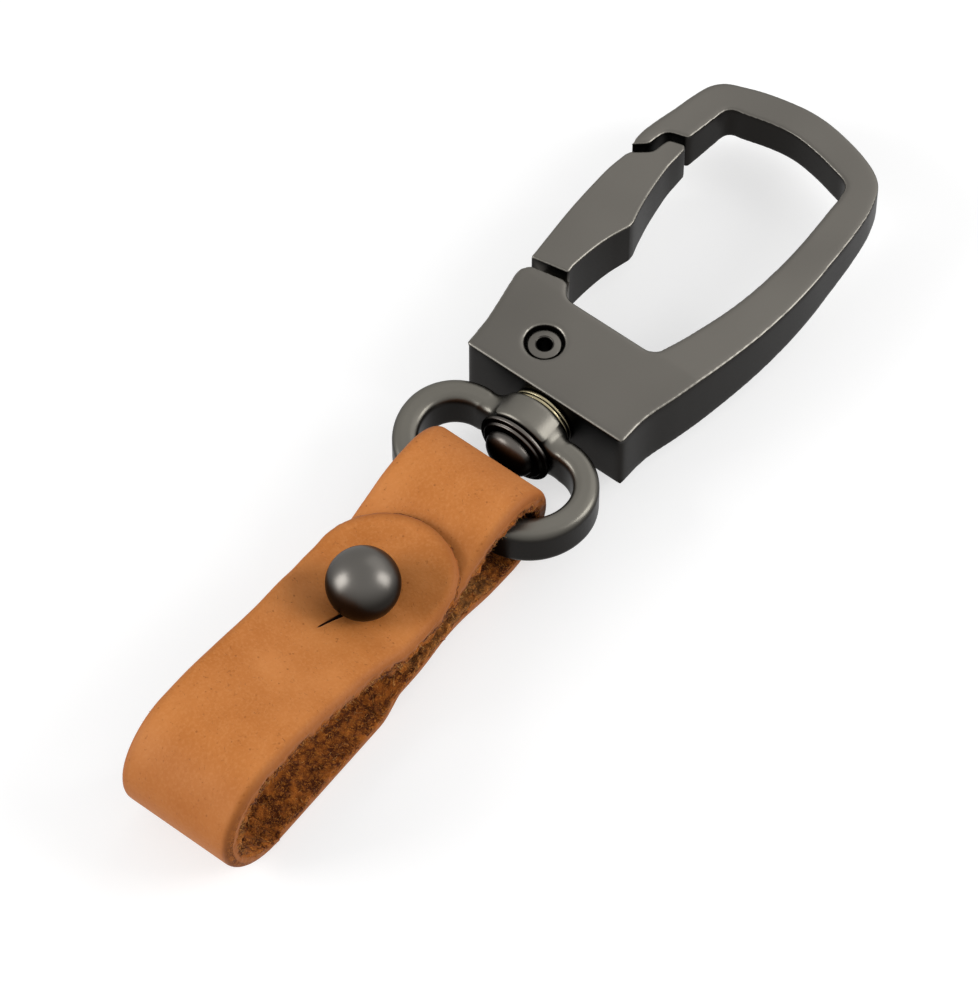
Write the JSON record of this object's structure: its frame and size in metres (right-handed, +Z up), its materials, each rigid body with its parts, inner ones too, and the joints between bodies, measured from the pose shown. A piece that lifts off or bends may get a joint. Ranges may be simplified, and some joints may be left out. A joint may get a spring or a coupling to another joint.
{
  "type": "leather strap keychain with swivel carabiner hook",
  "caption": "Leather strap folded round a swivel ring and buttoned on a ball stud, with a sprung-gate carabiner hook that turns on a swivel pin.",
  "frame": {"origin": "centre of the footprint on the surface that the strap lies on", "axes": "+Y from the leather fold to the hook's bow, +Z up out of the ball stud's side, +X to the hook's solid spine"},
  "size_m": [0.0264, 0.1092, 0.0171],
  "materials": {
    "gunmetal": "satin gunmetal plating on die-cast zinc",
    "dark_gunmetal": "polished dark gunmetal plating",
    "nickel": "bright plated steel washer",
    "spring_steel": "drawn spring wire",
    "leather": "tan vegetable-tanned leather, grain side out, raw flesh side and cut edges",
    "stud_metal": "satin gunmetal plating on brass"
  },
  "bodies": {
    "hook": {"hook_frame": "gunmetal", "gate_rivet": "gunmetal", "gate_spring": "spring_steel", "swivel_pin": "dark_gunmetal", "collar_washer": "nickel", "head_washer": "dark_gunmetal"},
    "gate": {"gate": "gunmetal"},
    "ring": {"swivel_ring": "gunmetal"},
    "strap": {"strap": "leather", "ball_stud": "stud_metal", "stud_screw": "stud_metal"},
    "tongue": {"strap_tongue": "leather"}
  },
  "joints": [
    {"name": "gate_hinge", "type": "hinge", "parent": "hook", "child": "gate", "pos_m": [-0.0046, 0.01227, 0.0061], "axis": [0, 0, -1], "range_deg": [0, 30], "stiffness_Nm_per_rad": 0.08, "springref_deg": -20.05, "deforming": ["gate_spring"]},
    {"name": "ring_swivel", "type": "hinge", "parent": "hook", "child": "ring", "pos_m": [-0.00065, 0.00422, 0.0061], "axis": [0, 1, 0], "continuous": true},
    {"name": "strap_swing", "type": "hinge", "parent": "ring", "child": "strap", "pos_m": [-0.00065, -0.00728, 0.0061], "axis": [1, 0, 0], "range_deg": [-75, 75]},
    {"name": "tongue_flex", "type": "hinge", "parent": "strap", "child": "tongue", "pos_m": [-0.00065, -0.05343, 0.00745], "axis": [1, 0, 0], "range_deg": [0, 80], "deforming": ["strap_tongue"]}
  ]
}
